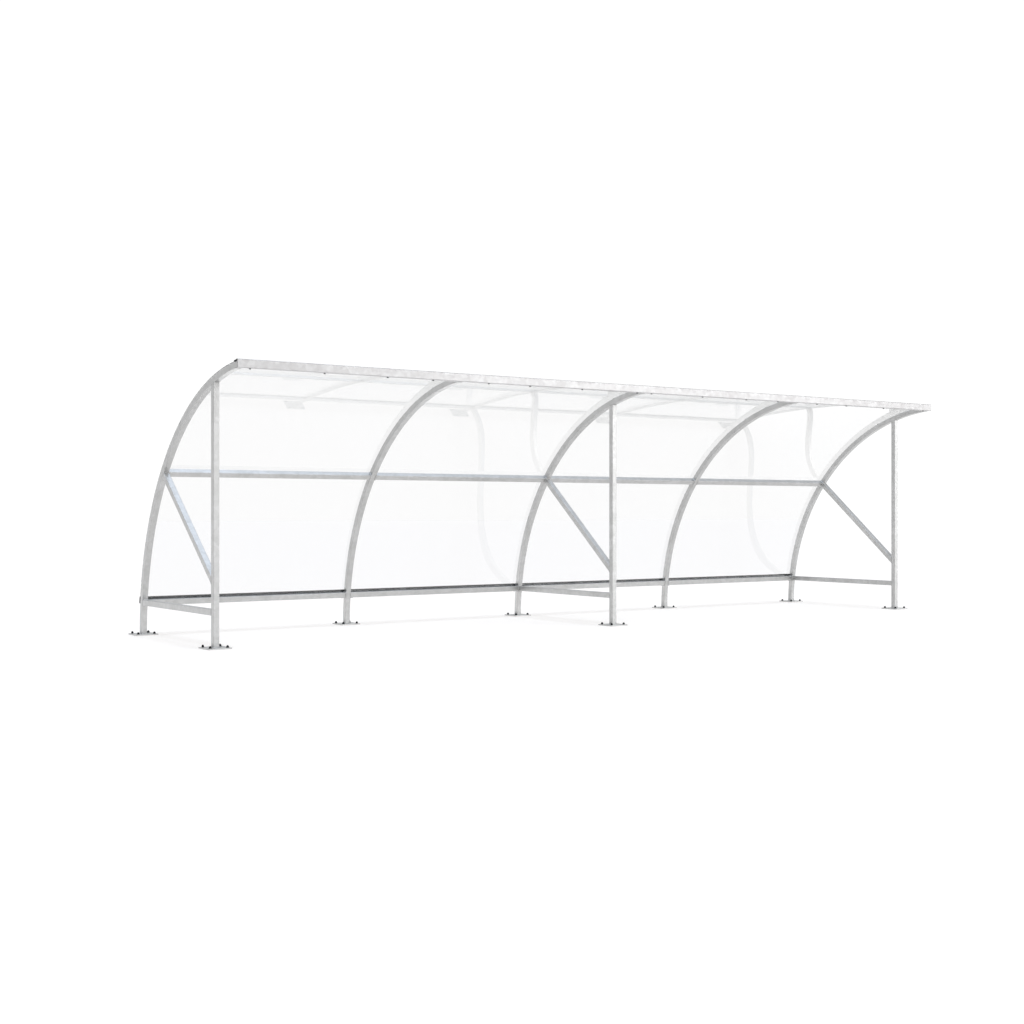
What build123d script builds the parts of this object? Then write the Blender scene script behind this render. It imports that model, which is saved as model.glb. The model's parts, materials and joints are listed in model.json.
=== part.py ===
from build123d import *
from math import asin, atan2, cos, degrees, radians, sin, sqrt
import os

os.makedirs("parts", exist_ok=True)

# An open, curved bike shelter of four equal bays.
# The origin is on the ground under the middle of the shelter: X runs along its length,
# and the open front faces -Y. Sizes are in millimetres.

# Layout
bay_count = 4
bay_length = 2000
shelter_depth = 2136
post_setback = 479
post_every = 2

# Square hollow section of arches, posts, rails, ties and braces
tube = 50
tube_wall = 3
tube_corner = 3.5

# Arch centre line: a short straight foot, then one circular bend
arch_radius = 2174
arch_foot = 6

# Base plates
plate_side = 200
plate_thickness = 10
plate_corner = 6
anchor_pitch = 145
anchor_hole_radius = 7

# Heights of the centre lines of rails and ties, and of the braces where they meet the posts
bottom_rail_height = 282
mid_rail_height = 1401
tie_height = 282
brace_foot_height = 536

# Folded fascia channel on the front ends of the arches
fascia_sheet = 3
fascia_upper_flange = 30
fascia_lower_flange = 45
fascia_bend_radius = 4
arch_end_gap = 7
arch_notch = 6

# Clear sheets, the seal on their front edge and the channel at their foot
sheet_thickness = 5
sheet_joint = 4
seat_gap = 0.3
sheet_foot_height = 281
seal_gap = 3
seal_width = 62
seal_height = 10
seal_wall = 2.4
seal_corner = 3
foot_channel_height = 60
foot_channel_depth = 22
foot_channel_lip = 10
foot_channel_corner = 8

# Positions that follow from the sizes above
half_tube = tube / 2
frame_x = [(i - bay_count / 2) * bay_length for i in range(bay_count + 1)]
post_frames = frame_x[::post_every]
foot_y = shelter_depth / 2 - plate_side / 2
front_y = -shelter_depth / 2
post_y = front_y + post_setback
arch_y = foot_y - arch_radius
arch_z = plate_thickness + arch_foot
inner_radius = arch_radius - half_tube
sheet_radius = arch_radius + half_tube + seat_gap
sheet_outer = sheet_radius + sheet_thickness
web_back_y = front_y + fascia_sheet
notch_y = front_y + fascia_lower_flange
span = (frame_x[0] - half_tube, frame_x[-1] + half_tube)


def on_arch(radius, angle):
    """Y and Z of a point at a radius and an angle, in degrees, about the arch's centre."""
    return (
        arch_y + radius * cos(radians(angle)),
        arch_z + radius * sin(radians(angle)),
    )


def arch_angle(radius, y):
    """The angle at which a circle about the arch's centre reaches a given Y."""
    return degrees(atan2(sqrt(radius**2 - (y - arch_y) ** 2), y - arch_y))


def arch_height(radius, y):
    """Z at which a circle about the arch's centre reaches a given Y."""
    return on_arch(radius, arch_angle(radius, y))[1]


def rise_angle(radius, z):
    """The angle at which a circle about the arch's centre reaches a given height."""
    return degrees(asin((z - arch_z) / radius))


def tube_section():
    """The rounded square hollow section, in the sketch that is open."""
    RectangleRounded(tube, tube, tube_corner)
    bore = tube - 2 * tube_wall
    RectangleRounded(bore, bore, tube_corner - tube_wall, mode=Mode.SUBTRACT)


def cope_to_arch(x):
    """Cuts the open part to the round inner face of the arch at x."""
    with Locations((x, arch_y, arch_z)):
        Cylinder(inner_radius, 2 * tube, rotation=(0, 90, 0), mode=Mode.INTERSECT)


def save(piece, name):
    """Labels a finished piece and writes it under its own name."""
    piece.part.label = name
    export_step(piece.part, f"parts/{name}.step")


# Top seal: a black rubber strip with two hollow chambers, on the front edge of the sheets
# just behind the fascia's web.
seal_y = web_back_y + seal_gap + seal_width / 2
seal_angle = arch_angle(sheet_outer, seal_y)
seal_seat = on_arch(sheet_outer + seat_gap, seal_angle)
seal_out = (0, cos(radians(seal_angle)), sin(radians(seal_angle)))
seal_plane = Plane((span[0], *seal_seat), x_dir=seal_out, z_dir=(1, 0, 0))
chamber = (seal_height - 2 * seal_wall, (seal_width - 3 * seal_wall) / 2)
with BuildPart() as top_seal:
    with BuildSketch(seal_plane) as seal_section:
        Rectangle(seal_height, seal_width, align=(Align.MIN, Align.CENTER))
        fillet(seal_section.vertices().group_by(Axis.X)[-1], seal_corner)
        with Locations((seal_height / 2, 0)):
            with GridLocations(0, chamber[1] + seal_wall, 1, 2):
                RectangleRounded(*chamber, seal_corner - seal_wall, mode=Mode.SUBTRACT)
    extrude(amount=span[1] - span[0])
save(top_seal, "top_seal")

# The fascia's two flanges take the notched arch ends below and reach over the seal above.
lower_flange_top = arch_height(inner_radius, notch_y) + arch_notch
fascia_bottom = lower_flange_top - fascia_sheet
fascia_top = top_seal.part.bounding_box().max.Z + seat_gap + fascia_sheet

# Arches: the tube is bent in one sweep, cut upright behind the fascia's web, and notched
# below so that it seats on the fascia's lower flange.
arch_end = arch_angle(arch_radius + tube, front_y - tube)
arch_cut = Plane((0, web_back_y + arch_end_gap, 0), z_dir=(0, 1, 0))
for number, x in enumerate(frame_x, 1):
    with BuildPart() as arch:
        with BuildLine(Plane.YZ.offset(x)):
            Line((foot_y, plate_thickness), (foot_y, arch_z))
            CenterArc((arch_y, arch_z), arch_radius, 0, arch_end)
        with BuildSketch(Plane((x, foot_y, plate_thickness))):
            tube_section()
        sweep()
        split(bisect_by=arch_cut, keep=Keep.TOP)
        with Locations((x, notch_y, lower_flange_top)):
            Box(
                2 * tube,
                2 * fascia_lower_flange,
                2 * tube,
                align=(Align.CENTER, Align.MAX, Align.MAX),
                mode=Mode.SUBTRACT,
            )
    save(arch, f"arch_{number}")

# Front posts stand under every second arch, coped to its inner face.
for number, x in enumerate(post_frames, 1):
    with BuildPart() as post:
        with BuildSketch(Plane((x, post_y, plate_thickness))):
            tube_section()
        extrude(amount=inner_radius + tube)
        cope_to_arch(x)
    save(post, f"front_post_{number}")


def base_plate(x, y):
    """A square foot plate with one anchor hole in each corner."""
    with BuildPart() as plate:
        with BuildSketch(Plane((x, y, 0))):
            RectangleRounded(plate_side, plate_side, plate_corner)
        extrude(amount=plate_thickness)
        with BuildSketch(Plane((x, y, plate_thickness))):
            with GridLocations(anchor_pitch, anchor_pitch, 2, 2):
                Circle(anchor_hole_radius)
        extrude(amount=-plate_thickness, mode=Mode.SUBTRACT)
    return plate


for number, x in enumerate(frame_x, 1):
    save(base_plate(x, foot_y), f"rear_base_plate_{number}")
for number, x in enumerate(post_frames, 1):
    save(base_plate(x, post_y), f"front_base_plate_{number}")

# Diagonal braces run from where the mid rails meet the arch down to the post.
for number, x in enumerate(post_frames, 1):
    with BuildPart() as brace:
        brace_top = Vector(x, *on_arch(arch_radius, rise_angle(arch_radius, mid_rail_height)))
        brace_foot = Vector(x, post_y + half_tube, brace_foot_height)
        brace_plane = Plane(brace_top, x_dir=(1, 0, 0), z_dir=brace_foot - brace_top)
        with BuildSketch(brace_plane):
            tube_section()
        extrude(amount=arch_radius)
        cope_to_arch(x)
        post_face = Plane(brace_foot, z_dir=(0, 1, 0))
        split(bisect_by=post_face, keep=Keep.TOP)
    save(brace, f"diagonal_brace_{number}")

# Bottom ties run level from the post's rear face to the arch.
for number, x in enumerate(post_frames, 1):
    with BuildPart() as tie:
        tie_start = (x, post_y + half_tube, tie_height)
        with BuildSketch(Plane(tie_start, x_dir=(1, 0, 0), z_dir=(0, 1, 0))):
            tube_section()
        extrude(amount=arch_radius)
        cope_to_arch(x)
    save(tie, f"bottom_tie_{number}")


def rail(x, height):
    """A rail between two arches at a height, turned to lie in line with their curve."""
    angle = rise_angle(arch_radius, height)
    y, z = on_arch(arch_radius, angle)
    outward = (0, cos(radians(angle)), sin(radians(angle)))
    with BuildPart() as bar:
        with BuildSketch(Plane((x + half_tube, y, z), x_dir=outward, z_dir=(1, 0, 0))):
            tube_section()
        extrude(amount=bay_length - tube)
    return bar


for number, x in enumerate(frame_x[:-1], 1):
    save(rail(x, mid_rail_height), f"mid_rail_{number}")
    save(rail(x, bottom_rail_height), f"bottom_rail_{number}")

# Clear sheets: one curved pane to a bay, from the foot channel up to the fascia's web.
sheet_start = rise_angle(sheet_radius, sheet_foot_height)
sheet_end = arch_angle(sheet_outer, front_y - tube)
sheet_sweep = sheet_end - sheet_start
for number, x in enumerate(frame_x[:-1], 1):
    left = span[0] if x == frame_x[0] else x + sheet_joint / 2
    right = span[1] if number == bay_count else x + bay_length - sheet_joint / 2
    with BuildPart() as sheet:
        with BuildSketch(Plane.YZ.offset(left)):
            with BuildLine():
                inner = CenterArc((arch_y, arch_z), sheet_radius, sheet_start, sheet_sweep)
                outer = CenterArc((arch_y, arch_z), sheet_outer, sheet_start, sheet_sweep)
                Line(inner @ 0, outer @ 0)
                Line(inner @ 1, outer @ 1)
            make_face()
        extrude(amount=right - left)
        web_back = Plane((0, web_back_y + seat_gap, 0), z_dir=(0, 1, 0))
        split(bisect_by=web_back, keep=Keep.TOP)
    save(sheet, f"clear_sheet_{number}")

# Fascia: two lengths of folded channel that meet over the middle arch.
half_sheet = fascia_sheet / 2
fold_path = [
    (front_y + fascia_upper_flange, fascia_top - half_sheet),
    (front_y + half_sheet, fascia_top - half_sheet),
    (front_y + half_sheet, fascia_bottom + half_sheet),
    (notch_y, fascia_bottom + half_sheet),
]
for name, ends in (("left", (span[0], 0)), ("right", (0, span[1]))):
    with BuildPart() as fascia:
        with BuildSketch(Plane.YZ.offset(ends[0])):
            with BuildLine():
                FilletPolyline(*fold_path, radius=fascia_bend_radius)
            trace(line_width=fascia_sheet)
        extrude(amount=ends[1] - ends[0])
    save(fascia, f"fascia_channel_{name}")

# Foot channel: a rounded rail behind the arches that carries the sheets' lower edge.
foot_seat = on_arch(sheet_radius, sheet_start)
foot_out = (0, cos(radians(sheet_start)), sin(radians(sheet_start)))
foot_plane = Plane((span[0], *foot_seat), x_dir=foot_out, z_dir=(1, 0, 0))
slot_width = sheet_thickness + 2 * seat_gap
with BuildPart() as foot_channel:
    with BuildSketch(foot_plane) as channel_section:
        with Locations((0, -foot_channel_lip)):
            Rectangle(foot_channel_depth, foot_channel_height, align=Align.MIN)
        fillet(channel_section.vertices().group_by(Axis.X)[-1], foot_channel_corner)
        with Locations((0, -seat_gap)):
            Rectangle(slot_width, foot_channel_height, align=Align.MIN, mode=Mode.SUBTRACT)
    extrude(amount=span[1] - span[0])
save(foot_channel, "sheet_foot_channel")
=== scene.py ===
import json
from math import acos, asin, cos, radians, sin, sqrt, tau

import bmesh
import bpy
from bpy.props import FloatProperty, FloatVectorProperty, PointerProperty
from mathutils import Matrix, Vector


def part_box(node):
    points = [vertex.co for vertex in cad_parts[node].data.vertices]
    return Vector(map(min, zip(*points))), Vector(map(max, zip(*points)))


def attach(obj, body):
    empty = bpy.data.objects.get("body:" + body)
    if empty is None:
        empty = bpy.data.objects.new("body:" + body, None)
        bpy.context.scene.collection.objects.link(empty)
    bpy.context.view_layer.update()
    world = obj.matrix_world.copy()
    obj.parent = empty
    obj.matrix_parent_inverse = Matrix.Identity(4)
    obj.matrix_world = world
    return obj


bl_info = {
    "name": "Bike Shelter",
    "version": (1, 0, 0),
    "blender": (4, 5, 0),
    "location": "3D View > Sidebar > Shelter",
    "description": "Finishes, fixings, welds and a pale stage for a curved bike shelter",
    "category": "Add Mesh",
}

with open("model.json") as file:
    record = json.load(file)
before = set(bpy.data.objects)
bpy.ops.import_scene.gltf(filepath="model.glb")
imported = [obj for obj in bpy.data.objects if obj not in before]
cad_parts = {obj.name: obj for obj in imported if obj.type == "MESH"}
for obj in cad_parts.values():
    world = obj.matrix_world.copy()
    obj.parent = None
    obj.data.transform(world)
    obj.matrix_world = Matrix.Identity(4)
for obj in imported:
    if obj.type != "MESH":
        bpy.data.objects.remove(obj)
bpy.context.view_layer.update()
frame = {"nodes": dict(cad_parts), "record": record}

# The shelter's own geometry, in metres, as its frame was drawn
TUBE = 0.050
TUBE_CORNER = 0.0035
ARCH_RADIUS = 2.174
ARCH_FOOT = 0.006
SHEET_GAP = 0.0003
SHEET = 0.005
FASCIA_SHEET = 0.003
MID_RAIL_HEIGHT = 1.401
BOTTOM_RAIL_HEIGHT = 0.282
TIE_HEIGHT = 0.282
BRACE_FOOT_HEIGHT = 0.536
ARCH_COUNT = 5
POST_COUNT = 3
BAYS = range(1, ARCH_COUNT)

plate_low, plate_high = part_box("rear_base_plate_1")
PLATE_TOP = plate_high.z
FOOT_Y = (plate_low.y + plate_high.y) / 2
POST_Y = sum(corner.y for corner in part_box("front_post_1")) / 2
ARCH_Y = FOOT_Y - ARCH_RADIUS
ARCH_Z = PLATE_TOP + ARCH_FOOT
INNER_RADIUS = ARCH_RADIUS - TUBE / 2
SHEET_INSIDE = ARCH_RADIUS + TUBE / 2 + SHEET_GAP
SHEET_OUTSIDE = SHEET_INSIDE + SHEET


def on_arch(height):
    """The point of the arches' centre line at a height, in the plane X = 0, and its angle."""
    angle = asin((height - ARCH_Z) / ARCH_RADIUS)
    return Vector((0, ARCH_Y + ARCH_RADIUS * cos(angle), height)), angle


def middle_x(node):
    """The X of the middle of a CAD node."""
    return sum(corner.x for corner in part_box(node)) / 2


ARCH_X = [middle_x(f"arch_{number}") for number in range(1, ARCH_COUNT + 1)]
POST_X = [middle_x(f"front_post_{number}") for number in range(1, POST_COUNT + 1)]

# The stage: a floor that reaches past all views, just under the plates, and the camera
FLOOR_HALF = 150
FLOOR_DROP = 0.0005
CAMERA_PLACE = (-8.4838, -11.0444, 1.0696)
CAMERA_TURN = (radians(90), 0, radians(-35))
CAMERA_LENS = 50
CAMERA_SENSOR = 36
CAMERA_REACH = 400

# How finely the small round parts are made
ROD_STEPS = 20
RING_STEPS = 24
DOME_RINGS = 12
MERGE_DISTANCE = 1e-6


# Colours and nodes


def linear(code):
    """An sRGB hex colour as linear red, green, blue and an alpha of one."""
    parts = [int(code[i : i + 2], 16) / 255 for i in (1, 3, 5)]
    channels = [
        c / 12.92 if c <= 0.04045 else ((c + 0.055) / 1.055) ** 2.4 for c in parts
    ]
    return (*channels, 1.0)


WHITE = linear("#FFFFFF")


def add_node(tree, kind, values=None, links=None, **settings):
    """Adds a node with its own settings, its inputs' values and what is linked to them."""
    node = tree.nodes.new(kind)
    for name, value in settings.items():
        setattr(node, name, value)
    for name, value in (values or {}).items():
        node.inputs[name].default_value = value
    for name, socket in (links or {}).items():
        tree.links.new(socket, node.inputs[name])
    return node


def new_material(name):
    """An empty node material of that name, and its tree."""
    material = bpy.data.materials.new(name)
    material.use_nodes = True
    material.node_tree.nodes.clear()
    return material, material.node_tree


def colour_steps(tree, factor, colours):
    """A colour ramp with evenly spaced colours, read at a factor."""
    ramp = add_node(tree, "ShaderNodeValToRGB", links={"Fac": factor})
    stops = ramp.color_ramp.elements
    while len(stops) < len(colours):
        stops.new(0.5)
    for i, colour in enumerate(colours):
        stops[i].position = i / (len(colours) - 1)
        stops[i].color = colour
    return ramp.outputs["Color"]


def dull_metal_rays(tree, rays):
    """One for rays that dull metal mirrors, else zero.

    Rays that a clear sheet mirrored or let through count as glossy too, and are left out."""
    clear = add_node(
        tree,
        "ShaderNodeMath",
        links={0: rays.outputs["Is Transmission Ray"], 1: rays.outputs["Is Singular Ray"]},
        operation="MAXIMUM",
    )
    return add_node(
        tree,
        "ShaderNodeMath",
        links={0: rays.outputs["Is Glossy Ray"], 1: clear.outputs["Value"]},
        operation="SUBTRACT",
        use_clamp=True,
    ).outputs["Value"]


def seen_rays(tree):
    """One for rays from the camera, from a reflection or through a clear sheet, else zero, and
    the same for reflections in dull metal alone."""
    rays = add_node(tree, "ShaderNodeLightPath")
    highest = rays.outputs["Is Camera Ray"]
    for name in ("Is Glossy Ray", "Is Transmission Ray"):
        highest = add_node(
            tree,
            "ShaderNodeMath",
            links={0: highest, 1: rays.outputs[name]},
            operation="MAXIMUM",
        ).outputs["Value"]
    return highest, dull_metal_rays(tree, rays)


def galvanised_steel(name, finish, tones):
    """Hot-dip galvanised steel: dull zinc whose crystals and cloudy patches differ a little in
    tone and in gloss, so that broad soft reflections break up on it."""
    material, tree = new_material(name)
    place = add_node(tree, "ShaderNodeTexCoord").outputs["Object"]
    # Zinc crystals are 5 to 15 mm across, drawn about three times as coarse to show, and a
    # wider noise bends their edges
    drift = add_node(
        tree,
        "ShaderNodeTexNoise",
        {"Scale": 1 / finish.crystal_bend, "Detail": 2.0},
        {"Vector": place},
    )
    warped = add_node(
        tree,
        "ShaderNodeVectorMath",
        links={0: drift.outputs["Color"], 2: place},
        operation="MULTIPLY_ADD",
    )
    warped.inputs[1].default_value = (finish.crystal_size,) * 3
    crystals = add_node(
        tree,
        "ShaderNodeTexVoronoi",
        {"Scale": 1 / finish.crystal_size, "Randomness": 1.0},
        {"Vector": warped.outputs["Vector"]},
    )
    crystal_tone = add_node(
        tree, "ShaderNodeSeparateColor", links={"Color": crystals.outputs["Color"]}
    )
    # Cloudy patches a hand's breadth across, from how the bath drained
    clouds = add_node(
        tree,
        "ShaderNodeTexNoise",
        {"Scale": 1 / finish.cloud_size, "Detail": 4.0, "Roughness": 0.6},
        {"Vector": place},
    )
    tone = add_node(
        tree,
        "ShaderNodeMix",
        {"Factor": finish.crystal_share},
        {"A": clouds.outputs["Fac"], "B": crystal_tone.outputs["Red"]},
        data_type="FLOAT",
    )
    # Nearly all of that tone lies in the middle half, which takes the whole range of colours
    spread = add_node(
        tree,
        "ShaderNodeMapRange",
        {"From Min": 0.25, "From Max": 0.75},
        {"Value": tone.outputs["Result"]},
    )
    colour = colour_steps(tree, spread.outputs["Result"], tones)
    gloss = add_node(
        tree,
        "ShaderNodeMapRange",
        {
            "From Min": 0.2,
            "From Max": 0.8,
            "To Min": finish.steel_roughness - finish.crystal_gloss,
            "To Max": finish.steel_roughness + finish.crystal_gloss,
        },
        {"Value": crystal_tone.outputs["Green"]},
    )
    # The coating's slight waviness, as of a thick coat that froze while it ran
    waves = add_node(
        tree,
        "ShaderNodeTexNoise",
        {"Scale": 1 / finish.coat_waves, "Detail": 2.0},
        {"Vector": place},
    )
    bump = add_node(
        tree,
        "ShaderNodeBump",
        {"Strength": 0.08, "Distance": finish.coat_relief},
        {"Height": waves.outputs["Fac"]},
    )
    shader = add_node(
        tree,
        "ShaderNodeBsdfPrincipled",
        {"Metallic": 0.7, "Specular IOR Level": 0.3},
        {
            "Base Color": colour,
            "Roughness": gloss.outputs["Result"],
            "Normal": bump.outputs["Normal"],
        },
    )
    add_node(tree, "ShaderNodeOutputMaterial", links={"Surface": shader.outputs["BSDF"]})
    return material


def clear_polyester(finish):
    """Extruded clear polyester (PETG): clear as glass, with crisp reflections that bend a
    little."""
    material, tree = new_material("clear_polyester_sheet")
    place = add_node(tree, "ShaderNodeTexCoord").outputs["Object"]
    # Long shallow waves from the extruder's rolls
    waves = add_node(
        tree,
        "ShaderNodeTexNoise",
        {"Scale": 1 / finish.sheet_waves, "Detail": 1.0},
        {"Vector": place},
    )
    bump = add_node(
        tree,
        "ShaderNodeBump",
        {"Strength": 0.1, "Distance": finish.sheet_relief},
        {"Height": waves.outputs["Fac"]},
    )
    shader = add_node(
        tree,
        "ShaderNodeBsdfPrincipled",
        {
            "Base Color": finish.sheet_tint,
            "Roughness": 0.0,
            "IOR": 1.57,
            "Transmission Weight": 1.0,
        },
        {"Normal": bump.outputs["Normal"]},
    )
    # Lamps, the light from all round and what dull metal mirrors pass straight through
    rays = add_node(tree, "ShaderNodeLightPath")
    lighting = dull_metal_rays(tree, rays)
    for name in ("Is Diffuse Ray", "Is Shadow Ray"):
        lighting = add_node(
            tree,
            "ShaderNodeMath",
            links={0: lighting, 1: rays.outputs[name]},
            operation="MAXIMUM",
        ).outputs["Value"]
    passing = add_node(tree, "ShaderNodeBsdfTransparent", {"Color": finish.sheet_shade})
    mixed = add_node(
        tree,
        "ShaderNodeMixShader",
        links={0: lighting, 1: shader.outputs["BSDF"], 2: passing.outputs["BSDF"]},
    )
    add_node(tree, "ShaderNodeOutputMaterial", links={"Surface": mixed.outputs["Shader"]})
    return material


def mottled_solid(name, dark, light, patch, roughness, metallic, grain, depth, stray=0.08):
    """A solid finish whose tone and roughness drift together, with a fine grain in relief."""
    material, tree = new_material(name)
    place = add_node(tree, "ShaderNodeTexCoord").outputs["Object"]
    patches = add_node(
        tree, "ShaderNodeTexNoise", {"Scale": 1 / patch, "Detail": 3.0}, {"Vector": place}
    )
    colour = colour_steps(tree, patches.outputs["Fac"], (dark, light))
    gloss = add_node(
        tree,
        "ShaderNodeMapRange",
        {"To Min": roughness - stray, "To Max": roughness + stray},
        {"Value": patches.outputs["Fac"]},
    )
    grains = add_node(
        tree, "ShaderNodeTexNoise", {"Scale": 1 / grain, "Detail": 2.0}, {"Vector": place}
    )
    bump = add_node(
        tree,
        "ShaderNodeBump",
        {"Strength": 0.3, "Distance": depth},
        {"Height": grains.outputs["Fac"]},
    )
    shader = add_node(
        tree,
        "ShaderNodeBsdfPrincipled",
        {"Metallic": metallic},
        {
            "Base Color": colour,
            "Roughness": gloss.outputs["Result"],
            "Normal": bump.outputs["Normal"],
        },
    )
    add_node(tree, "ShaderNodeOutputMaterial", links={"Surface": shader.outputs["BSDF"]})
    return material


def finish_named(name):
    """A material that an earlier step made."""
    material = bpy.data.materials.get(name)
    if material is None:
        raise RuntimeError(f"the finish {name} isn't made yet")
    return material


# Shapes


def revolve(bm, profile, steps):
    """Turns a profile of (radius, height) points once round the Z axis."""
    points = [bm.verts.new((radius, 0, height)) for radius, height in profile]
    lines = [bm.edges.new(pair) for pair in zip(points, points[1:])]
    bmesh.ops.spin(
        bm,
        geom=points + lines,
        cent=(0, 0, 0),
        axis=(0, 0, 1),
        dvec=(0, 0, 0),
        angle=tau,
        steps=steps,
        use_merge=True,
    )


def hexagon(bm, across, base, height, corner_share=0.07):
    """A hexagon block with its corners taken off, as on a nut or a bolt's head."""
    radius = across / sqrt(3)
    made = bmesh.ops.create_cone(
        bm,
        cap_ends=True,
        segments=6,
        radius1=radius,
        radius2=radius,
        depth=height,
        matrix=Matrix.Translation((0, 0, base + height / 2)),
    )
    bmesh.ops.bevel(
        bm,
        geom=made["verts"],
        affect="VERTICES",
        offset=across * corner_share,
        segments=2,
        profile=0.5,
        material=-1,
    )


def washer(bm, inside, outside, base, thickness, ease_share=0.2):
    """A flat ring with eased outer corners."""
    ease = thickness * ease_share
    profile = (
        (inside, base),
        (outside - ease, base),
        (outside, base + ease),
        (outside, base + thickness - ease),
        (outside - ease, base + thickness),
        (inside, base + thickness),
        (inside, base),
    )
    revolve(bm, profile, RING_STEPS)


def stand_at(point, direction):
    """The placement that puts a part's foot at a point, with its Z axis along a direction."""
    turn = Vector(direction).to_track_quat("Z", "Y").to_matrix().to_4x4()
    return Matrix.Translation(point) @ turn


def copies(build, placements):
    """A bmesh with one closed copy of what build draws at each placement."""
    single = bmesh.new()
    build(single)
    bmesh.ops.remove_doubles(single, verts=single.verts, dist=MERGE_DISTANCE)
    bmesh.ops.recalc_face_normals(single, faces=single.faces)
    mesh = bpy.data.meshes.new("single")
    single.to_mesh(mesh)
    single.free()
    bm = bmesh.new()
    for placement in placements:
        already = len(bm.verts)
        bm.from_mesh(mesh)
        bm.verts.ensure_lookup_table()
        bmesh.ops.transform(bm, matrix=placement, verts=bm.verts[already:])
    bpy.data.meshes.remove(mesh)
    return bm


def finished_piece(name, bm, material, smooth_angle=35):
    """Makes a piece of the shelter from a bmesh, with its finish, on the frame's one body."""
    for face in bm.faces:
        face.smooth = True
    for edge in bm.edges:
        if len(edge.link_faces) == 2:
            edge.smooth = edge.calc_face_angle(0) < radians(smooth_angle)
    mesh = bpy.data.meshes.new(name)
    bm.to_mesh(mesh)
    bm.free()
    mesh.materials.append(finish_named(material))
    piece = bpy.data.objects.new(name, mesh)
    bpy.context.scene.collection.objects.link(piece)
    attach(piece, "root")


# Sizes and colours


class ShelterFinish(bpy.types.PropertyGroup):
    """Colours and surface sizes of the shelter's materials"""

    steel_dark: FloatVectorProperty(
        name="Zinc, dark",
        description="Darkest tone of the galvanised coating",
        subtype="COLOR",
        size=4,
        default=linear("#ABABAA"),
    )
    steel_middle: FloatVectorProperty(
        name="Zinc, middle",
        description="Usual tone of the galvanised coating",
        subtype="COLOR",
        size=4,
        default=linear("#B4B4B3"),
    )
    steel_light: FloatVectorProperty(
        name="Zinc, light",
        description="Lightest tone of the galvanised coating",
        subtype="COLOR",
        size=4,
        default=linear("#BDBDBD"),
    )
    fascia_dark: FloatVectorProperty(
        name="Fascia zinc, dark",
        description="Darkest tone of the fascia's coating",
        subtype="COLOR",
        size=4,
        default=linear("#A3A1A1"),
    )
    fascia_middle: FloatVectorProperty(
        name="Fascia zinc, middle",
        description="Usual tone of the fascia's coating",
        subtype="COLOR",
        size=4,
        default=linear("#ACABAB"),
    )
    fascia_light: FloatVectorProperty(
        name="Fascia zinc, light",
        description="Lightest tone of the fascia's coating",
        subtype="COLOR",
        size=4,
        default=linear("#B5B5B5"),
    )
    steel_roughness: FloatProperty(
        name="Zinc roughness",
        description="How dull the galvanised coating is",
        default=0.36,
        min=0.1,
        max=0.9,
    )
    crystal_size: FloatProperty(
        name="Zinc crystals",
        description="Width of the coating's crystals",
        default=0.032,
        unit="LENGTH",
    )
    crystal_bend: FloatProperty(
        name="Crystal bend",
        description="Length over which the edges of the coating's crystals bend",
        default=0.0714,
        unit="LENGTH",
    )
    crystal_share: FloatProperty(
        name="Crystal share",
        description="How much of the coating's tone comes from its crystals",
        default=0.25,
        subtype="FACTOR",
        min=0.0,
        max=1.0,
    )
    crystal_gloss: FloatProperty(
        name="Crystal gloss",
        description="How far the roughness strays to both sides between crystals",
        default=0.02,
    )
    cloud_size: FloatProperty(
        name="Zinc patches",
        description="Width of the coating's cloudy patches",
        default=0.14,
        unit="LENGTH",
    )
    coat_waves: FloatProperty(
        name="Coat waves",
        description="Distance between the waves in the coating",
        default=0.01667,
        unit="LENGTH",
    )
    coat_relief: FloatProperty(
        name="Coat relief",
        description="Height of the waves in the coating",
        default=0.001,
        unit="LENGTH",
    )
    sheet_tint: FloatVectorProperty(
        name="Sheet tint",
        description="Colour of the clear sheets",
        subtype="COLOR",
        size=4,
        default=linear("#F4F4F4"),
    )
    sheet_shade: FloatVectorProperty(
        name="Sheet shade",
        description="What each face of the clear sheets lets through to what stands behind",
        subtype="COLOR",
        size=4,
        default=linear("#FDFDFD"),
    )
    sheet_waves: FloatProperty(
        name="Sheet waves",
        description="Distance between the waves in the clear sheets",
        default=0.4167,
        unit="LENGTH",
    )
    sheet_relief: FloatProperty(
        name="Sheet relief",
        description="Height of the waves in the clear sheets",
        default=0.004,
        unit="LENGTH",
    )
    rubber_dark: FloatVectorProperty(
        name="Rubber, dark",
        description="Darker tone of the seal and the foot channel",
        subtype="COLOR",
        size=4,
        default=linear("#232425"),
    )
    rubber_light: FloatVectorProperty(
        name="Rubber, light",
        description="Lighter tone of the seal and the foot channel",
        subtype="COLOR",
        size=4,
        default=linear("#303132"),
    )
    bolt_dark: FloatVectorProperty(
        name="Bolt, dark",
        description="Darker tone of the blackened bolts",
        subtype="COLOR",
        size=4,
        default=linear("#17171A"),
    )
    bolt_light: FloatVectorProperty(
        name="Bolt, light",
        description="Lighter tone of the blackened bolts",
        subtype="COLOR",
        size=4,
        default=linear("#242427"),
    )
    screw_dark: FloatVectorProperty(
        name="Screw, dark",
        description="Darker tone of the zinc-plated screws",
        subtype="COLOR",
        size=4,
        default=linear("#9FA1A3"),
    )
    screw_light: FloatVectorProperty(
        name="Screw, light",
        description="Lighter tone of the zinc-plated screws",
        subtype="COLOR",
        size=4,
        default=linear("#C9CACC"),
    )


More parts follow.
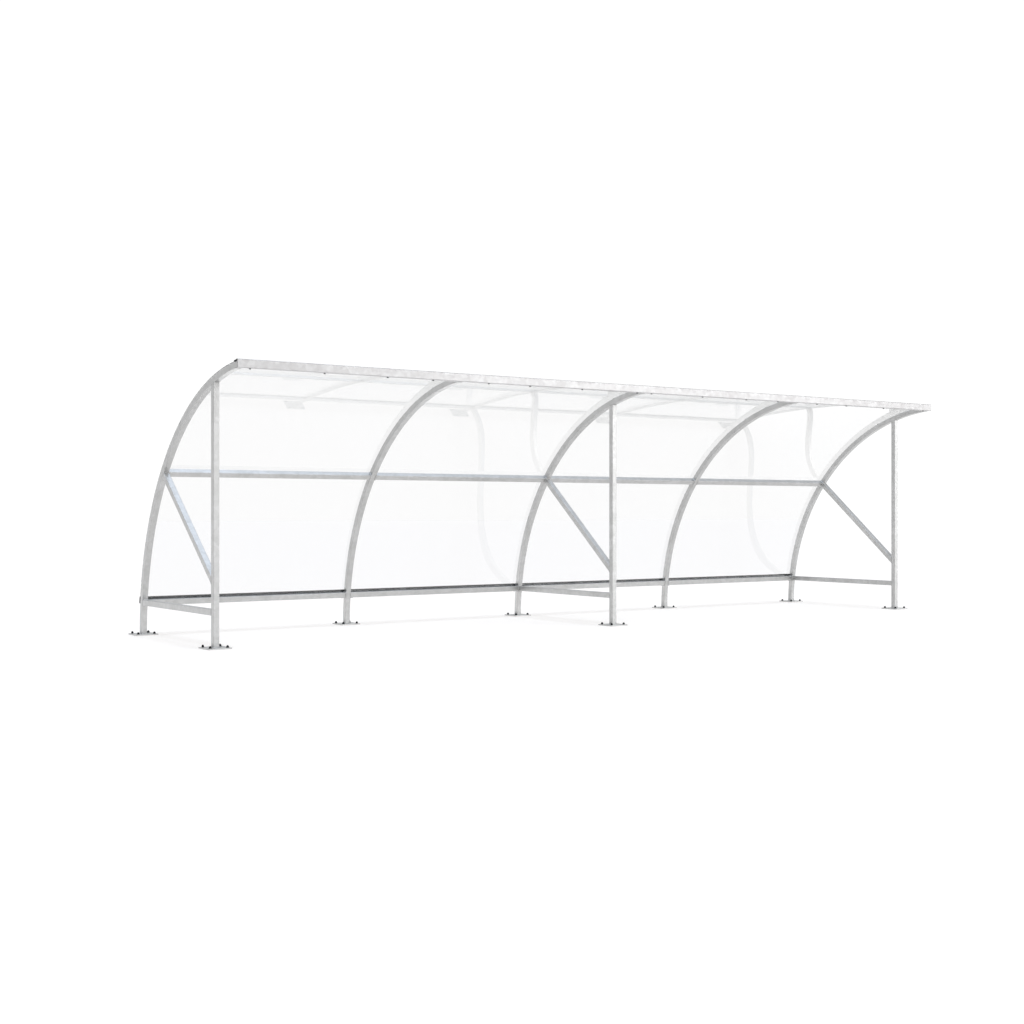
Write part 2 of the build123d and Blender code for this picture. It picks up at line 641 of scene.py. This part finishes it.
class AnchorBolts(bpy.types.PropertyGroup):
    """Sizes of the anchor bolts in the base plates"""

    rod: FloatProperty(
        name="Rod", description="Diameter of the anchor rod", default=0.012, unit="LENGTH"
    )
    nut_across: FloatProperty(
        name="Nut", description="Nut width across flats", default=0.019, unit="LENGTH"
    )
    nut_height: FloatProperty(
        name="Nut height",
        description="Height of the nut's hexagon",
        default=0.009,
        unit="LENGTH",
    )
    dome: FloatProperty(
        name="Dome", description="Diameter of the nut's dome", default=0.0175, unit="LENGTH"
    )
    dome_sink: FloatProperty(
        name="Dome sink",
        description="How far the dome's middle lies below the top of the nut's hexagon",
        default=0.000875,
        unit="LENGTH",
    )
    washer: FloatProperty(
        name="Washer", description="Washer diameter", default=0.024, unit="LENGTH"
    )
    washer_thickness: FloatProperty(
        name="Washer thickness",
        description="Thickness of the washer",
        default=0.0025,
        unit="LENGTH",
    )
    turns: FloatVectorProperty(
        name="Turns",
        description="How far nuts are turned by their row, their column and each metre of X",
        size=3,
        default=(radians(17), radians(31), radians(9)),
        unit="ROTATION",
    )


class EdgeBolts(bpy.types.PropertyGroup):
    """Sizes and places of the bolts along the front edge, and of like screws in the rails"""

    thread: FloatProperty(
        name="Shank", description="Shank diameter", default=0.008, unit="LENGTH"
    )
    head_across: FloatProperty(
        name="Head", description="Head width across flats", default=0.013, unit="LENGTH"
    )
    head_height: FloatProperty(
        name="Head height", description="Height of the head", default=0.0053, unit="LENGTH"
    )
    washer: FloatProperty(
        name="Washer", description="Washer diameter", default=0.016, unit="LENGTH"
    )
    washer_thickness: FloatProperty(
        name="Washer thickness",
        description="Thickness of the washer",
        default=0.0016,
        unit="LENGTH",
    )
    sleeve: FloatProperty(
        name="Spacer sleeve",
        description="Diameter of the sleeve between fascia and sheet",
        default=0.014,
        unit="LENGTH",
    )
    sleeve_play: FloatProperty(
        name="Sleeve play",
        description="Gap between the sleeve and the sheet above it",
        default=0.0005,
        unit="LENGTH",
    )
    behind_edge: FloatProperty(
        name="Behind front edge",
        description="Distance of the bolts behind the fascia's face",
        default=0.022,
        unit="LENGTH",
    )
    offsets: FloatVectorProperty(
        name="Offsets",
        description="Distances of the bolts to both sides of the second and fourth arches",
        size=4,
        default=(0.277, 0.709, 1.280, 1.914),
        unit="LENGTH",
    )
    rail_end: FloatProperty(
        name="From rail end",
        description="Distance of the rail screws from the arch's side",
        default=0.030,
        unit="LENGTH",
    )


class SheetScrews(bpy.types.PropertyGroup):
    """Sizes and spacing of the screws that hold the clear sheets on the arches"""

    spacing: FloatProperty(
        name="Spacing", description="Screw spacing", default=0.32, unit="LENGTH"
    )
    from_joint: FloatProperty(
        name="From joint",
        description="Distance of the screws from the joint between two sheets",
        default=0.0135,
        unit="LENGTH",
    )
    from_end: FloatProperty(
        name="From ends",
        description="Distance of the first and last screws from the foot channel and the seal",
        default=0.08,
        unit="LENGTH",
    )
    washer: FloatProperty(
        name="Sealing washer",
        description="Diameter of the sealing washer",
        default=0.016,
        unit="LENGTH",
    )
    washer_thickness: FloatProperty(
        name="Sealing washer thickness",
        description="Thickness of the sealing washer",
        default=0.0015,
        unit="LENGTH",
    )
    washer_side: FloatProperty(
        name="Sealing washer side",
        description="Height of the sealing washer's side, under an equally wide slope",
        default=0.0008,
        unit="LENGTH",
    )
    cup_inset: FloatProperty(
        name="Cup inset",
        description="How far the screw's cupped flange stays inside the sealing washer",
        default=0.0015,
        unit="LENGTH",
    )
    cup_slope: FloatProperty(
        name="Cup slope",
        description="Width of the sloping rim of the screw's cupped flange",
        default=0.001,
        unit="LENGTH",
    )
    cup_rim: FloatProperty(
        name="Cup rim",
        description="Height of the rim of the screw's cupped flange",
        default=0.0009,
        unit="LENGTH",
    )
    cup_crown: FloatProperty(
        name="Cup crown",
        description="Height of the middle of the screw's cupped flange",
        default=0.0011,
        unit="LENGTH",
    )
    head_sink: FloatProperty(
        name="Head sink",
        description="How far the head's foot lies below the crown of its cupped flange",
        default=0.0004,
        unit="LENGTH",
    )
    head_across: FloatProperty(
        name="Head", description="Head width across flats", default=0.008, unit="LENGTH"
    )
    head_height: FloatProperty(
        name="Head height", description="Height of the head", default=0.0042, unit="LENGTH"
    )


class WeldBeads(bpy.types.PropertyGroup):
    """Sizes of the weld beads round the welded joints"""

    radius: FloatProperty(
        name="Bead", description="Radius of the bead", default=0.0035, unit="LENGTH"
    )
    rail_radius: FloatProperty(
        name="Bead at rails",
        description="Radius of the heavier beads at the rails' ends",
        default=0.007,
        unit="LENGTH",
    )
    ripple: FloatProperty(
        name="Ripple",
        description="Distance between the bead's ripples",
        default=0.0045,
        unit="LENGTH",
    )
    neck: FloatProperty(
        name="Neck",
        description="Width of the bead between two ripples, as a share of its full width",
        default=0.86,
        subtype="FACTOR",
        min=0.0,
        max=1.0,
    )


class StageLight(bpy.types.PropertyGroup):
    """Colours and strengths of the stage"""

    floor: FloatVectorProperty(
        name="Floor",
        description="Colour of the floor",
        subtype="COLOR",
        size=4,
        default=linear("#EFE7DE"),
    )
    floor_lift: FloatProperty(
        name="Floor lift",
        description="How much brighter the floor is to the eye, in mirrors and through sheets",
        default=0.23,
    )
    # Painted reflection: the floor glows extra here only where dull metal reflects it, from no
    # lamp
    painted_floor_glint: FloatProperty(
        name="Floor glint",
        description="How much brighter still dull metal mirrors the floor",
        default=0.3,
    )
    # Painted pool of light on the floor behind the shelter, seen only in dull metal's
    # reflections
    pool: FloatProperty(
        name="Pool of light",
        description="How much brighter still dull metal mirrors the floor behind the shelter",
        default=1.4,
    )
    painted_pool_centre: FloatVectorProperty(
        name="Pool centre",
        description="Middle of that pool of light",
        default=(-0.5, 4.5, 0.0),
        subtype="TRANSLATION",
        unit="LENGTH",
    )
    painted_pool_radius: FloatProperty(
        name="Pool radius",
        description="Radius of that pool of light",
        default=4.6,
        unit="LENGTH",
    )
    sky: FloatProperty(
        name="Surrounding light", description="Strength of the light all round", default=0.45
    )
    sky_seen: FloatProperty(
        name="Seen surroundings",
        description="Strength of the white surroundings to the eye, equal to the lit floor's",
        default=1.08,
    )
    sky_mirrored: FloatProperty(
        name="Mirrored surroundings",
        description="Strength of the white surroundings as dull metal mirrors them",
        default=0.8,
    )
    key: FloatProperty(
        name="Key light",
        description="Strength of the light from the front right",
        default=1.05,
    )
    key_way: FloatVectorProperty(
        name="Key direction",
        description="The way the key light shines",
        default=(-0.65, 0.76, -0.05),
        subtype="DIRECTION",
    )
    key_spread: FloatProperty(
        name="Key spread",
        description="Width of the key light",
        default=radians(36),
        subtype="ANGLE",
    )
    back: FloatProperty(
        name="Back light",
        description="Strength of the light from the rear left",
        default=0.12,
    )
    back_way: FloatVectorProperty(
        name="Back direction",
        description="The way the back light shines",
        default=(0.66, -0.75, -0.05),
        subtype="DIRECTION",
    )
    back_spread: FloatProperty(
        name="Back spread",
        description="Width of the back light",
        default=radians(40),
        subtype="ANGLE",
    )
    top: FloatProperty(
        name="Top light", description="Strength of the light from above", default=2.2
    )
    top_way: FloatVectorProperty(
        name="Top direction",
        description="The way the top light shines",
        default=(0.05, 0.1, -1.0),
        subtype="DIRECTION",
    )
    top_spread: FloatProperty(
        name="Top spread",
        description="Width of the top light",
        default=radians(72),
        subtype="ANGLE",
    )
    top_colour: FloatVectorProperty(
        name="Top colour",
        description="Colour of the light from above",
        subtype="COLOR",
        size=3,
        default=linear("#DCEBFF")[:3],
    )


GROUPS = {
    "shelter_finish": ShelterFinish,
    "anchor_bolts": AnchorBolts,
    "edge_bolts": EdgeBolts,
    "sheet_screws": SheetScrews,
    "weld_beads": WeldBeads,
    "stage_light": StageLight,
}


# Pieces


class SHELTER_OT_finishes(bpy.types.Operator):
    """Make the shelter's materials and give the frame's parts theirs"""

    bl_idname = "shelter.finishes"
    bl_label = "Finishes"

    def execute(self, context):
        finish = context.scene.shelter_finish
        # Extruded EPDM rubber: near black and dull, with weathered patches a hand's breadth
        # wide and a grain of 3 mm, drawn coarser than the die's so that it shows
        rubber = mottled_solid(
            "extruded_epdm_rubber",
            finish.rubber_dark,
            finish.rubber_light,
            patch=0.08,
            roughness=0.62,
            metallic=0.0,
            grain=0.003,
            depth=0.0002,
        )
        # Black passivated steel bolts: dark metal with a dull sheen that differs over a few
        # millimetres, and a grain of 1 mm, coarser than the real one
        mottled_solid(
            "black_passivated_bolt",
            finish.bolt_dark,
            finish.bolt_light,
            patch=0.006,
            roughness=0.42,
            metallic=0.7,
            grain=0.001,
            depth=0.0001,
        )
        # Bright zinc-plated steel screws: smoother and lighter than the dipped coating, with
        # the same small patches and grain as the bolts
        mottled_solid(
            "bright_zinc_plated_screw",
            finish.screw_dark,
            finish.screw_light,
            patch=0.005,
            roughness=0.3,
            metallic=1.0,
            grain=0.001,
            depth=0.0001,
        )
        # Hot-dip galvanised steel tube: light, dull zinc with soft spangle
        tube_zinc = galvanised_steel(
            "hot_dip_galvanised_steel",
            finish,
            (finish.steel_dark, finish.steel_middle, finish.steel_light),
        )
        # Galvanised sheet steel of the folded fascia: the same zinc, a shade darker
        sheet_zinc = galvanised_steel(
            "galvanised_sheet_steel",
            finish,
            (finish.fascia_dark, finish.fascia_middle, finish.fascia_light),
        )
        looks = {
            "galvanised_steel": tube_zinc,
            "clear_sheet": clear_polyester(finish),
            "black_rubber": rubber,
        }
        for part in frame["record"]["subparts"]:
            node = frame["nodes"][part["node"]]
            look = looks[part["material_slot"]]
            if part["node"].startswith("fascia"):
                look = sheet_zinc
            node.data.materials.clear()
            node.data.materials.append(look)
        return {"FINISHED"}


class SHELTER_OT_anchor_bolts(bpy.types.Operator):
    """Put an anchor with a washer and a domed nut in each hole of the base plates"""

    bl_idname = "shelter.anchor_bolts"
    bl_label = "Anchor bolts"

    def execute(self, context):
        size = context.scene.anchor_bolts
        rod = size.rod / 2
        nut_base = PLATE_TOP + size.washer_thickness
        nut_top = nut_base + size.nut_height
        dome_middle = nut_top - size.dome_sink
        row_turn, column_turn, plate_turn = size.turns

        def anchor(bm):
            revolve(bm, ((0, 0), (rod, 0), (rod, nut_base), (0, nut_base)), ROD_STEPS)
            washer(bm, rod, size.washer / 2, PLATE_TOP, size.washer_thickness)
            hexagon(bm, size.nut_across, nut_base, size.nut_height)
            bmesh.ops.create_uvsphere(
                bm,
                u_segments=RING_STEPS,
                v_segments=DOME_RINGS,
                radius=size.dome / 2,
                matrix=Matrix.Translation((0, 0, dome_middle)),
            )

        for mount in frame["record"]["mounts"]:
            if mount["kind"] != "bolt_pattern":
                continue
            across = mount["dims"]["spacing_x_mm"] / 1000
            along = mount["dims"]["spacing_y_mm"] / 1000
            x, y, z = mount["pos_m"]
            places = []
            for i in (-1, 1):
                for j in (-1, 1):
                    turn = row_turn * i + column_turn * j + plate_turn * x
                    spot = Matrix.Translation((x + i * across / 2, y + j * along / 2, z))
                    places.append(spot @ Matrix.Rotation(turn, 4, "Z"))
            finished_piece(
                mount["name"],
                copies(anchor, places),
                "black_passivated_bolt",
            )
        return {"FINISHED"}


class SHELTER_OT_front_edge_bolts(bpy.types.Operator):
    """Put the bolts under the fascia channel, with the sleeves that space the sheets off it"""

    bl_idname = "shelter.front_edge_bolts"
    bl_label = "Front edge bolts"

    def execute(self, context):
        size = context.scene.edge_bolts
        # Each half of the fascia is bolted to both sides of the arch in its middle
        for side, arch in (("left", 1), ("right", 3)):
            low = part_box(f"fascia_channel_{side}")[0]
            y = low.y + size.behind_edge
            flange_top = low.z + FASCIA_SHEET
            sheet_under = ARCH_Z + sqrt(SHEET_INSIDE**2 - (y - ARCH_Y) ** 2)
            length = sheet_under - size.sleeve_play - flange_top

            def bolt(bm):
                washer(bm, 0, size.washer / 2, 0, size.washer_thickness)
                hexagon(bm, size.head_across, size.washer_thickness, size.head_height)

            def sleeve(bm):
                washer(bm, size.thread / 2, size.sleeve / 2, 0, length)

            places = [
                Vector((ARCH_X[arch] + way * offset, y, low.z))
                for way in (-1, 1)
                for offset in size.offsets
            ]
            heads = [stand_at(place, (0, 0, -1)) for place in places]
            finished_piece(
                f"fascia_bolts_{side}",
                copies(bolt, heads),
                "black_passivated_bolt",
            )
            feet = [Matrix.Translation((p.x, p.y, flange_top)) for p in places]
            finished_piece(
                f"fascia_sleeves_{side}",
                copies(sleeve, feet),
                "hot_dip_galvanised_steel",
            )
        return {"FINISHED"}


class SHELTER_OT_rail_screws(bpy.types.Operator):
    """Put a screw in the lower face of each rail near both of its ends"""

    bl_idname = "shelter.rail_screws"
    bl_label = "Rail screws"

    def execute(self, context):
        size = context.scene.edge_bolts

        def screw(bm):
            washer(bm, 0, size.washer / 2, 0, size.washer_thickness)
            hexagon(bm, size.head_across, size.washer_thickness, size.head_height)

        for rail, height in (("mid", MID_RAIL_HEIGHT), ("bottom", BOTTOM_RAIL_HEIGHT)):
            middle, angle = on_arch(height)
            down = Vector((0, sin(angle), -cos(angle)))
            for number in BAYS:
                low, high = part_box(f"{rail}_rail_{number}")
                places = []
                for x in (low.x + size.rail_end, high.x - size.rail_end):
                    foot = middle + down * TUBE / 2 + Vector((x, 0, 0))
                    places.append(stand_at(foot, down))
                finished_piece(
                    f"{rail}_rail_screws_{number}",
                    copies(screw, places),
                    "bright_zinc_plated_screw",
                )
        return {"FINISHED"}


class SHELTER_OT_sheet_screws(bpy.types.Operator):
    """Put screws with sealing washers along the sheets' edges over each arch"""

    bl_idname = "shelter.sheet_screws"
    bl_label = "Sheet screws"

    def execute(self, context):
        size = context.scene.sheet_screws
        seal_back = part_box("top_seal")[1].y
        channel_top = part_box("sheet_foot_channel")[1].z
        margin = size.from_end / SHEET_OUTSIDE
        first = asin((channel_top - ARCH_Z) / SHEET_OUTSIDE) + margin
        last = acos((seal_back - ARCH_Y) / SHEET_OUTSIDE) - margin
        count = round((last - first) * SHEET_OUTSIDE / size.spacing)
        angles = [first + (last - first) * i / count for i in range(count + 1)]

        edge = size.washer / 2
        top = size.washer_thickness
        cup = edge - size.cup_inset
        crown = top + size.cup_crown

        def seal(bm):
            profile = (
                (0, 0),
                (edge, 0),
                (edge, size.washer_side),
                (edge - size.washer_side, top),
                (0, top),
            )
            revolve(bm, profile, ROD_STEPS)

        def head(bm):
            rim = (cup - size.cup_slope, top + size.cup_rim)
            revolve(bm, ((0, top), (cup, top), rim, (0, crown)), ROD_STEPS)
            hexagon(bm, size.head_across, crown - size.head_sink, size.head_height)

        for number, x in enumerate(ARCH_X, 1):
            inner = x not in (ARCH_X[0], ARCH_X[-1])
            rows = (-size.from_joint, size.from_joint) if inner else (0,)
            places = []
            for shift in rows:
                for angle in angles:
                    out = Vector((0, cos(angle), sin(angle)))
                    foot = Vector((x + shift, ARCH_Y, ARCH_Z)) + out * SHEET_OUTSIDE
                    places.append(stand_at(foot, out))
            finished_piece(
                f"sheet_screw_seals_{number}",
                copies(seal, places),
                "extruded_epdm_rubber",
            )
            finished_piece(
                f"sheet_screws_{number}",
                copies(head, places),
                "bright_zinc_plated_screw",
            )
        return {"FINISHED"}


def tube_outline(spacing):
    """Points in order round the outside of the square tube, about its middle."""
    bm = bmesh.new()
    bmesh.ops.create_grid(bm, x_segments=1, y_segments=1, size=TUBE / 2)
    bmesh.ops.bevel(
        bm,
        geom=bm.verts[:],
        affect="VERTICES",
        offset=TUBE_CORNER,
        segments=3,
        profile=0.5,
        material=-1,
    )
    flats = [edge for edge in bm.edges if edge.calc_length() > TUBE / 2]
    cuts = round((TUBE - 2 * TUBE_CORNER) / spacing) - 1
    bmesh.ops.subdivide_edges(bm, edges=flats, cuts=cuts)
    bm.faces.ensure_lookup_table()
    points = [vert.co.copy() for vert in bm.faces[0].verts]
    bm.free()
    return points


def reach_nothing(point, way):
    """No distance: the tube already stands on the face."""
    return 0


def reach_post(point, way):
    """How far a line runs from a point along a direction to the posts' rear face."""
    return (POST_Y + TUBE / 2 - point.y) / way.y


def reach_arch(point, way):
    """How far a line runs from a point along a direction to the arches' inner face."""
    dy, dz = point.y - ARCH_Y, point.z - ARCH_Z
    half_b = dy * way.y + dz * way.z
    rest = dy * dy + dz * dz - INNER_RADIUS**2
    square = way.y**2 + way.z**2
    return (-half_b + sqrt(half_b**2 - square * rest)) / square


def weld_bead(bm, size, start, way, reach, turn=None):
    """Lays a rippled bead round a tube that runs along a direction, where it meets a face.

    A rail along X is turned by an angle about it, and its bead is heavier."""
    way = Vector(way).normalized()
    across = Vector((1, 0, 0)) if turn is None else Vector((0, cos(turn), sin(turn)))
    up = way.cross(across)
    curve = bpy.data.curves.new("bead", "CURVE")
    curve.dimensions = "3D"
    curve.bevel_depth = size.radius if turn is None else size.rail_radius
    curve.bevel_resolution = 2
    corners = []
    for spot in tube_outline(size.ripple / 2):
        point = Vector(start) + across * spot.x + up * spot.y
        corners.append(point + way * reach(point, way))
    spline = curve.splines.new("POLY")
    spline.points.add(len(corners) - 1)
    for i, (knot, corner) in enumerate(zip(spline.points, corners)):
        knot.co = (*corner, 1)
        knot.radius = 1.0 if i % 2 else size.neck
    spline.use_cyclic_u = True
    holder = bpy.data.objects.new("bead", curve)
    bpy.context.scene.collection.objects.link(holder)
    bpy.context.view_layer.update()
    mesh = bpy.data.meshes.new_from_object(
        holder.evaluated_get(bpy.context.evaluated_depsgraph_get())
    )
    bm.from_mesh(mesh)
    bpy.data.objects.remove(holder)
    bpy.data.curves.remove(curve)
    bpy.data.meshes.remove(mesh)


class SHELTER_OT_weld_beads(bpy.types.Operator):
    """Lay the weld beads round the feet, posts, ties, braces and rails of each frame"""

    bl_idname = "shelter.weld_beads"
    bl_label = "Weld beads"

    def execute(self, context):
        size = context.scene.weld_beads
        brace_foot = Vector((0, POST_Y + TUBE / 2, BRACE_FOOT_HEIGHT))
        brace_way = on_arch(MID_RAIL_HEIGHT)[0] - brace_foot
        brace_middle = brace_foot + brace_way / 2
        for number, x in enumerate(ARCH_X, 1):
            bm = bmesh.new()
            weld_bead(bm, size, (x, FOOT_Y, PLATE_TOP), (0, 0, 1), reach_nothing)
            for height in (MID_RAIL_HEIGHT, BOTTOM_RAIL_HEIGHT):
                middle, angle = on_arch(height)
                # A rail ends here on each side that has a bay
                for side in (-1, 1):
                    if ARCH_X[0] < x + side < ARCH_X[-1]:
                        foot = middle + Vector((x + side * TUBE / 2, 0, 0))
                        weld_bead(bm, size, foot, (side, 0, 0), reach_nothing, angle)
            if x in POST_X:
                shift = Vector((x, 0, 0))
                level = Vector((x, (POST_Y + FOOT_Y) / 2, TIE_HEIGHT))
                weld_bead(bm, size, (x, POST_Y, PLATE_TOP), (0, 0, 1), reach_nothing)
                weld_bead(bm, size, (x, POST_Y, TIE_HEIGHT), (0, 0, 1), reach_arch)
                weld_bead(bm, size, level, (0, 1, 0), reach_arch)
                weld_bead(bm, size, level, (0, -1, 0), reach_post)
                weld_bead(bm, size, brace_middle + shift, brace_way, reach_arch)
                weld_bead(bm, size, brace_middle + shift, -brace_way, reach_post)
            finished_piece(
                f"weld_beads_{number}",
                bm,
                "hot_dip_galvanised_steel",
                smooth_angle=60,
            )
        return {"FINISHED"}


# Stage


class SHELTER_OT_stage(bpy.types.Operator):
    """Set up the floor, the light and the camera"""

    bl_idname = "shelter.stage"
    bl_label = "Stage"

    def execute(self, context):
        scene, light = context.scene, context.scene.stage_light
        scene.view_settings.view_transform = "Standard"

        bm = bmesh.new()
        bmesh.ops.create_grid(bm, x_segments=1, y_segments=1, size=FLOOR_HALF)
        bmesh.ops.translate(bm, verts=bm.verts, vec=(0, 0, -FLOOR_DROP))
        mesh = bpy.data.meshes.new("floor")
        bm.to_mesh(mesh)
        bm.free()
        floor = bpy.data.objects.new("floor", mesh)
        scene.collection.objects.link(floor)

        # A smooth white floor, lifted to white where it is seen or mirrored, shadows kept. In
        # dull metal's reflections alone it glows brighter still, which is a painted
        # reflection. It glows most in a painted pool of light behind the shelter that no lamp
        # casts
        material, tree = new_material("white_floor")
        seen, mirrored = seen_rays(tree)
        matt = add_node(tree, "ShaderNodeBsdfDiffuse", {"Color": light.floor})
        place = add_node(tree, "ShaderNodeTexCoord").outputs["Object"]
        # Painted pool of light: a round patch of floor behind the shelter glows brighter, seen
        # only in dull metal's reflections
        away = add_node(
            tree,
            "ShaderNodeVectorMath",
            {1: light.painted_pool_centre},
            {0: place},
            operation="DISTANCE",
        )
        pool = add_node(
            tree,
            "ShaderNodeMapRange",
            {
                "From Max": light.painted_pool_radius,
                "To Min": light.painted_floor_glint + light.pool,
                "To Max": light.painted_floor_glint,
            },
            {"Value": away.outputs["Value"]},
            interpolation_type="SMOOTHSTEP",
        )
        # Painted reflection: only rays that dull metal reflects see the floor's extra glint
        # and its painted pool of light
        glint = add_node(
            tree,
            "ShaderNodeMath",
            links={0: mirrored, 1: pool.outputs["Result"]},
            operation="MULTIPLY",
        )
        lift = add_node(
            tree,
            "ShaderNodeMath",
            {1: light.floor_lift},
            {0: seen, 2: glint.outputs["Value"]},
            operation="MULTIPLY_ADD",
        )
        glow = add_node(
            tree,
            "ShaderNodeEmission",
            {"Color": WHITE},
            {"Strength": lift.outputs["Value"]},
        )
        both = add_node(
            tree,
            "ShaderNodeAddShader",
            links={0: matt.outputs["BSDF"], 1: glow.outputs["Emission"]},
        )
        add_node(tree, "ShaderNodeOutputMaterial", links={"Surface": both.outputs["Shader"]})
        mesh.materials.append(material)

        # The surroundings are plain white to the eye and softer as a light
        world = bpy.data.worlds.new("white_studio")
        world.use_nodes = True
        tree = world.node_tree
        tree.nodes.clear()
        seen, mirrored = seen_rays(tree)
        level = add_node(
            tree,
            "ShaderNodeMapRange",
            {"To Min": light.sky_seen, "To Max": light.sky_mirrored},
            {"Value": mirrored},
        )
        soft = add_node(tree, "ShaderNodeBackground", {"Strength": light.sky})
        white = add_node(
            tree, "ShaderNodeBackground", links={"Strength": level.outputs["Result"]}
        )
        for shade in (soft, white):
            shade.inputs["Color"].default_value = WHITE
        mixed = add_node(
            tree,
            "ShaderNodeMixShader",
            links={0: seen, 1: soft.outputs["Background"], 2: white.outputs["Background"]},
        )
        add_node(tree, "ShaderNodeOutputWorld", links={"Surface": mixed.outputs["Shader"]})
        scene.world = world

        # The lamps light all but the clear sheets, which would mirror them as hard white discs
        sheets = bpy.data.collections.new("clear_sheets")
        for number in BAYS:
            sheets.objects.link(frame["nodes"][f"clear_sheet_{number}"])
        for item in sheets.collection_objects:
            item.light_linking.link_state = "EXCLUDE"
        lamps = (
            ("key_light", light.key_way, light.key, light.key_spread, WHITE[:3]),
            ("back_light", light.back_way, light.back, light.back_spread, WHITE[:3]),
            ("top_light", light.top_way, light.top, light.top_spread, light.top_colour),
        )
        for name, way, strength, spread, colour in lamps:
            data = bpy.data.lights.new(name, "SUN")
            data.energy, data.angle, data.color = strength, spread, colour
            lamp = bpy.data.objects.new(name, data)
            lamp.rotation_mode = "QUATERNION"
            lamp.rotation_quaternion = Vector(way).to_track_quat("-Z", "Y")
            lamp.light_linking.receiver_collection = sheets
            scene.collection.objects.link(lamp)

        lens = bpy.data.cameras.new("photo_view")
        lens.lens, lens.sensor_width = CAMERA_LENS, CAMERA_SENSOR
        lens.clip_end = CAMERA_REACH
        camera = bpy.data.objects.new("photo_view", lens)
        camera.location = CAMERA_PLACE
        camera.rotation_euler = CAMERA_TURN
        scene.collection.objects.link(camera)
        scene.camera = camera
        return {"FINISHED"}


OPERATORS = (
    SHELTER_OT_stage,
    SHELTER_OT_finishes,
    SHELTER_OT_anchor_bolts,
    SHELTER_OT_front_edge_bolts,
    SHELTER_OT_rail_screws,
    SHELTER_OT_sheet_screws,
    SHELTER_OT_weld_beads,
)


class SHELTER_PT_sidebar(bpy.types.Panel):
    """The shelter's sizes, colours and steps"""

    bl_idname = "SHELTER_PT_sidebar"
    bl_label = "Bike Shelter"
    bl_space_type = "VIEW_3D"
    bl_region_type = "UI"
    bl_category = "Shelter"

    def draw(self, context):
        for step in OPERATORS:
            self.layout.operator(step.bl_idname)
        for name, group in GROUPS.items():
            box = self.layout.box()
            box.label(text=group.bl_rna.name)
            for field in group.__annotations__:
                box.prop(getattr(context.scene, name), field)


CLASSES = (*GROUPS.values(), *OPERATORS, SHELTER_PT_sidebar)


def register():
    for made in CLASSES:
        bpy.utils.register_class(made)
    for name, group in GROUPS.items():
        setattr(bpy.types.Scene, name, PointerProperty(type=group))


def unregister():
    for name in GROUPS:
        delattr(bpy.types.Scene, name)
    for made in reversed(CLASSES):
        bpy.utils.unregister_class(made)


def main():
    register()
    for step in OPERATORS:
        group, name = step.bl_idname.split(".")
        getattr(getattr(bpy.ops, group), name)()


if __name__ == "__main__":
    main()
